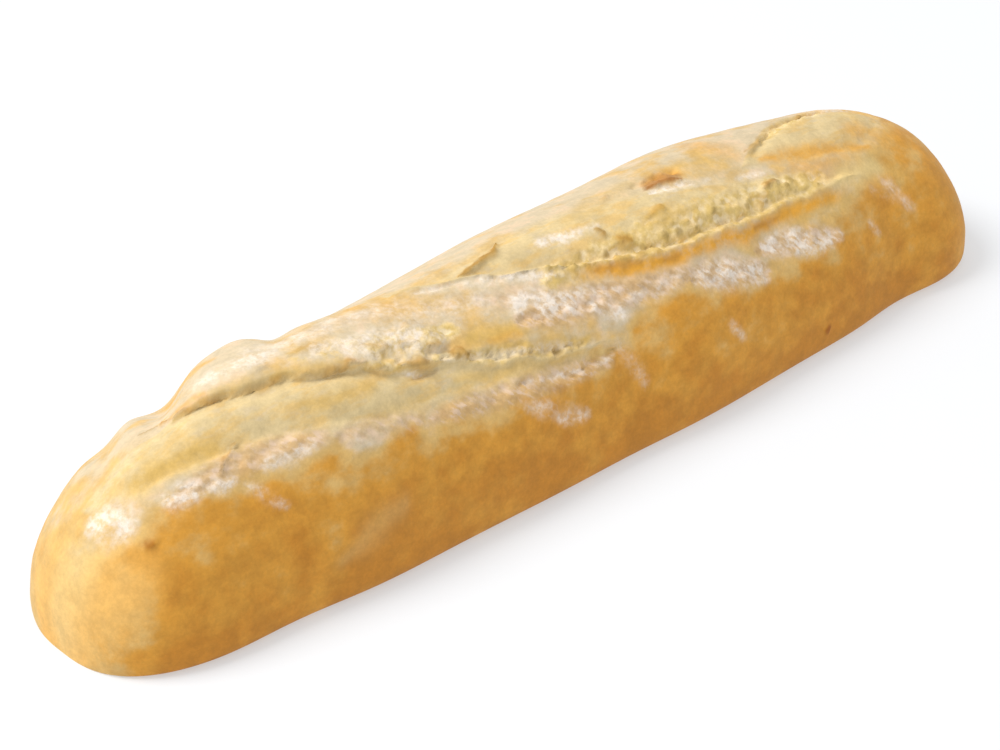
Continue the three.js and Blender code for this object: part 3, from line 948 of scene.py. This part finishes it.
class Graph:
    """Adds nodes to one material and joins them up."""

    def __init__(self, material):
        material.use_nodes = True
        self.tree = material.node_tree
        self.shader = self.tree.nodes["Principled BSDF"]
        self.place = self.tree.nodes.new("ShaderNodeTexCoord").outputs["Object"]

    def set(self, socket, value):
        if isinstance(value, bpy.types.NodeSocket):
            self.tree.links.new(value, socket)
        elif isinstance(value, tuple):
            socket.default_value = (*value, 1.0)[: len(socket.default_value)]
        else:
            socket.default_value = value

    def node(self, kind, inputs, **settings):
        made = self.tree.nodes.new(kind)
        for name, value in settings.items():
            setattr(made, name, value)
        for name, value in inputs.items():
            self.set(made.inputs[name], value)
        return made

    def field(self, name):
        """One of the mesh's own fields."""
        return self.node("ShaderNodeAttribute", {}, attribute_name=name).outputs["Fac"]

    def grain(self, size, detail, roughness, stretch):
        """Noise from 0 to 1 with lumps of about that many millimetres, stretched along an axis or not."""
        place = self.place
        if stretch:
            place = self.node("ShaderNodeMapping", {"Vector": place, "Scale": stretch}).outputs["Vector"]
        inputs = {"Vector": place, "Scale": 1 / (size * MM), "Detail": detail, "Roughness": roughness}
        return self.node("ShaderNodeTexNoise", inputs).outputs["Fac"]

    def math(self, operation, first, second, third=0.0, clamped=False):
        made = self.node("ShaderNodeMath", {}, operation=operation, use_clamp=clamped)
        self.set(made.inputs[0], first)
        self.set(made.inputs[1], second)
        self.set(made.inputs[2], third)
        return made.outputs[0]

    def ramp(self, value, low, high, to_low, to_high):
        inputs = {"Value": value, "From Min": low, "From Max": high, "To Min": to_low, "To Max": to_high}
        made = self.node("ShaderNodeMapRange", inputs, interpolation_type="SMOOTHSTEP")
        return made.outputs["Result"]

    def grained(self, name):
        """One of the material's grains, drawn between its two values."""
        grain, ramp = GRAINS[name]
        return self.ramp(self.grain(*grain), *ramp)

    def shown(self, name, value):
        """How far one of the looks shows for a value."""
        return self.ramp(value, *SHOWS[name])

    def blend(self, share, first, second, way="MIX"):
        made = self.node("ShaderNodeMix", {}, data_type="RGBA", blend_type=way)
        self.set(made.inputs["Factor"], share)
        self.set(made.inputs["A"], first)
        self.set(made.inputs["B"], second)
        return made.outputs["Result"]


def skin_colour(g):
    """Pale skin with some pink in it, and golden, brown and deep brown where it is more browned."""
    browned = g.math("ADD", g.field("browned"), g.grained("broad_browning"))
    browned = g.math("ADD", browned, g.grained("fine_browning"))
    skin = g.blend(g.grained("pink_skin"), PALE_SKIN, PINK_SKIN)
    skin = g.blend(g.shown("golden_skin", browned), skin, GOLDEN_SKIN)
    skin = g.blend(g.shown("brown_skin", browned), skin, BROWN_SKIN)
    skin = g.blend(g.shown("deep_skin", browned), skin, DEEP_SKIN)
    return g.blend(g.field("gilded"), skin, GILT_SKIN)


def bloom_colour(g):
    """The bloom of an open slash: cream, with golden and pale streaks along the loaf."""
    bloom = g.blend(g.grained("golden_bloom"), CREAM_BLOOM, GOLDEN_BLOOM)
    return g.blend(g.grained("pale_bloom"), bloom, PALE_SKIN)


def crumb_colour(g):
    """Torn crumb in a random mix of tones, with painted highlight where it stands up and painted shade in
    its dents.
    """
    crumb = g.blend(g.grained("shaded_crumb"), CRUMB, CRUMB_SHADE)
    crumb = g.blend(g.grained("golden_crumb"), crumb, GOLDEN_CRUMB)
    crumb = g.blend(g.shown("raised_crumb_highlight", g.field("crumbs")), crumb, PAINTED_CRUMB_HIGHLIGHT)
    return g.blend(g.shown("crumb_dent_shade", g.field("crumbs")), crumb, CRUMB_SHADE)


def slanting_strokes(g):
    """Noise drawn out into fine strokes that slant over wrinkled skin."""
    slant = g.node("ShaderNodeCombineXYZ", {"X": g.field("stroke_along"), "Y": g.field("stroke_across")})
    inputs = {"Vector": slant.outputs["Vector"], "Scale": 1, "Detail": STROKE_DETAIL}
    return g.node("ShaderNodeTexNoise", inputs).outputs["Fac"]


def flour_cover(g, wrinkled, strokes):
    """How thickly flour covers the crust: in drifts and grains, and thinner in the strokes of wrinkles."""
    drifts = g.grained("flour_drifts")
    grains = g.grained("flour_grains")
    dust = g.math("MULTIPLY", g.math("MULTIPLY", g.field("floured"), drifts), grains)
    swept = g.math("MULTIPLY_ADD", wrinkled, g.shown("swept_flour", strokes), third=1.0)
    return g.shown("flour", g.math("MULTIPLY", dust, swept))


def wrinkle_colour(g, colour, wrinkled, strokes):
    """A colour with the pink bumps of wrinkled skin over it, with painted highlight on them and on light
    strokes, and painted shade in its furrows and dark strokes.
    """
    colour = g.blend(g.shown("raised_wrinkle_highlight", g.field("wrinkles")), colour, PINK_BUMP_HIGHLIGHT)
    colour = g.blend(g.shown("sunken_wrinkle_shade", g.field("wrinkles")), colour, WRINKLE_SHADE)
    stroke_highlights = g.math("MULTIPLY", wrinkled, g.shown("stroke_highlight", strokes))
    stroke_shades = g.math("MULTIPLY", wrinkled, g.shown("stroke_shade", strokes))
    colour = g.blend(stroke_highlights, colour, PINK_BUMP_HIGHLIGHT)
    return g.blend(stroke_shades, colour, WRINKLE_SHADE)


def crust_material():
    """Golden skin, cream bloom, open crumb, toasted edges and flour, each where its field says, with
    painted shade in hollows, creases, pores and dents and painted highlight on raised crumb, wrinkles and a
    few pale patches.
    """
    material = bpy.data.materials.new("baked_crust")
    g = Graph(material)
    skin = skin_colour(g)
    bloom = bloom_colour(g)
    colour = g.blend(g.field("inside"), skin, bloom)
    crumb = crumb_colour(g)
    torn = g.math("ADD", g.field("torn"), g.grained("torn_edge"))
    colour = g.blend(g.shown("torn", torn), colour, crumb)
    # Painted shade in the pores.
    colour = g.blend(g.shown("pore", g.field("pore")), colour, PAINTED_PORE_SHADE)
    uneven = g.grained("uneven_toast")
    # Tan, partly painted shade on hollows and creases, and toasted edges.
    for field, shade in (("tanned", TAN_AND_HOLLOW_SHADE), ("toasted", TOASTED_EDGE)):
        share = g.math("MULTIPLY", g.field(field), uneven, clamped=True)
        colour = g.blend(share, colour, shade)
    # Pale yellow patches, partly painted highlight.
    colour = g.blend(g.field("paled"), colour, YELLOW_EDGE_AND_HIGHLIGHT)
    colour = g.blend(g.shown("wrinkled_skin", g.field("wrinkled")), colour, WRINKLED_SKIN)
    strokes = slanting_strokes(g)
    wrinkled = g.shown("wrinkled_strokes", g.field("wrinkled"))
    dust = flour_cover(g, wrinkled, strokes)
    colour = wrinkle_colour(g, colour, wrinkled, strokes)
    colour = g.blend(dust, colour, FLOUR)
    # Painted shade over the hollows and the bands beside them.
    colour = g.blend(g.shown("painted_gap_shade", g.field("shaded")), colour, PAINTED_GAP_SHADE, "MULTIPLY")
    colour = g.blend(g.field("burnt"), colour, BURNT_EDGE)
    speckle = g.math("MULTIPLY", g.grained("speckles"), g.grained("clouds"))
    speckle = g.node("ShaderNodeCombineColor", {"Red": speckle, "Green": speckle, "Blue": speckle})
    colour = g.blend(1.0, colour, speckle.outputs["Color"], "MULTIPLY")
    g.set(g.shader.inputs["Base Color"], colour)
    g.set(g.shader.inputs["Roughness"], g.shown("flour_roughness", dust))
    g.set(g.shader.inputs["Specular IOR Level"], CRUST_SPECULAR)
    height = g.math("MULTIPLY", g.grain(*CRUST_BUMPS), g.math("ADD", SMOOTH_CRUST_BUMP, g.field("torn")))
    height = g.math("ADD", height, g.math("MULTIPLY", dust, g.grain(*FLOUR_BUMPS)))
    height = g.math("ADD", height, g.math("MULTIPLY", wrinkled, strokes))
    inputs = {"Height": height, "Strength": BUMP_STRENGTH, "Distance": BUMP_HEIGHT * MM}
    g.set(g.shader.inputs["Normal"], g.node("ShaderNodeBump", inputs).outputs["Normal"])
    return material


def table_material():
    """White, and glowing a little itself, so that the shadow on it stays pale."""
    material = bpy.data.materials.new("white_table")
    material.use_nodes = True
    shader = material.node_tree.nodes["Principled BSDF"]
    shader.inputs["Base Color"].default_value = (*TABLE_COLOUR, 1)
    shader.inputs["Roughness"].default_value = TABLE_ROUGHNESS
    shader.inputs["Emission Color"].default_value = (*TABLE_GLOW_COLOUR, 1)
    shader.inputs["Emission Strength"].default_value = TABLE_GLOW
    return material


def make_table():
    mesh = bpy.data.meshes.new("table")
    corners = [(x * TABLE_HALF, y * TABLE_HALF, 0) for x, y in ((-1, -1), (1, -1), (1, 1), (-1, 1))]
    mesh.from_pydata(corners, [], [(0, 1, 2, 3)])
    table = bpy.data.objects.new("table", mesh)
    mesh.materials.append(table_material())
    bpy.context.scene.collection.objects.link(table)


def make_light():
    """A white surround, and one large soft lamp from behind."""
    world = bpy.data.worlds.new("studio")
    world.use_nodes = True
    sky = world.node_tree.nodes["Background"]
    sky.inputs["Color"].default_value = (1, 1, 1, 1)
    sky.inputs["Strength"].default_value = SURROUND
    bpy.context.scene.world = world
    light = bpy.data.lights.new("key", "AREA")
    light.shape = "DISK"
    light.size = KEY_SIZE
    light.energy = KEY_POWER
    light.color = KEY_COLOUR
    lamp = bpy.data.objects.new("key", light)
    lamp.location = KEY_PLACE
    lamp.rotation_mode = "QUATERNION"
    lamp.rotation_quaternion = (Vector(KEY_TARGET) - Vector(KEY_PLACE)).to_track_quat("-Z", "Y")
    bpy.context.scene.collection.objects.link(lamp)


def make_camera():
    camera = bpy.data.cameras.new("camera")
    camera.lens = LENS
    camera.sensor_width = SENSOR_WIDTH
    camera.clip_start, camera.clip_end = CAMERA_CLIP
    holder = bpy.data.objects.new("camera", camera)
    azimuth, elevation = math.radians(CAMERA_AZIMUTH), math.radians(CAMERA_ELEVATION)
    back = Vector((
        math.sin(azimuth) * math.cos(elevation),
        -math.cos(azimuth) * math.cos(elevation),
        math.sin(elevation),
    ))
    holder.location = Vector(CAMERA_TARGET) * MM + back * CAMERA_DISTANCE * MM
    holder.rotation_mode = "QUATERNION"
    holder.rotation_quaternion = (-back).to_track_quat("-Z", "Y")
    bpy.context.scene.collection.objects.link(holder)
    bpy.context.scene.camera = holder


def make_loaf():
    mesh = loaf_mesh()
    loaf = bpy.data.objects.new("loaf_crust", mesh)
    mesh.materials.append(crust_material())
    bpy.context.scene.collection.objects.link(loaf)
    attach(loaf, "root")
    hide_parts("loaf")


make_camera()
make_table()
make_light()
make_loaf()
bpy.context.scene.view_settings.view_transform = "Standard"
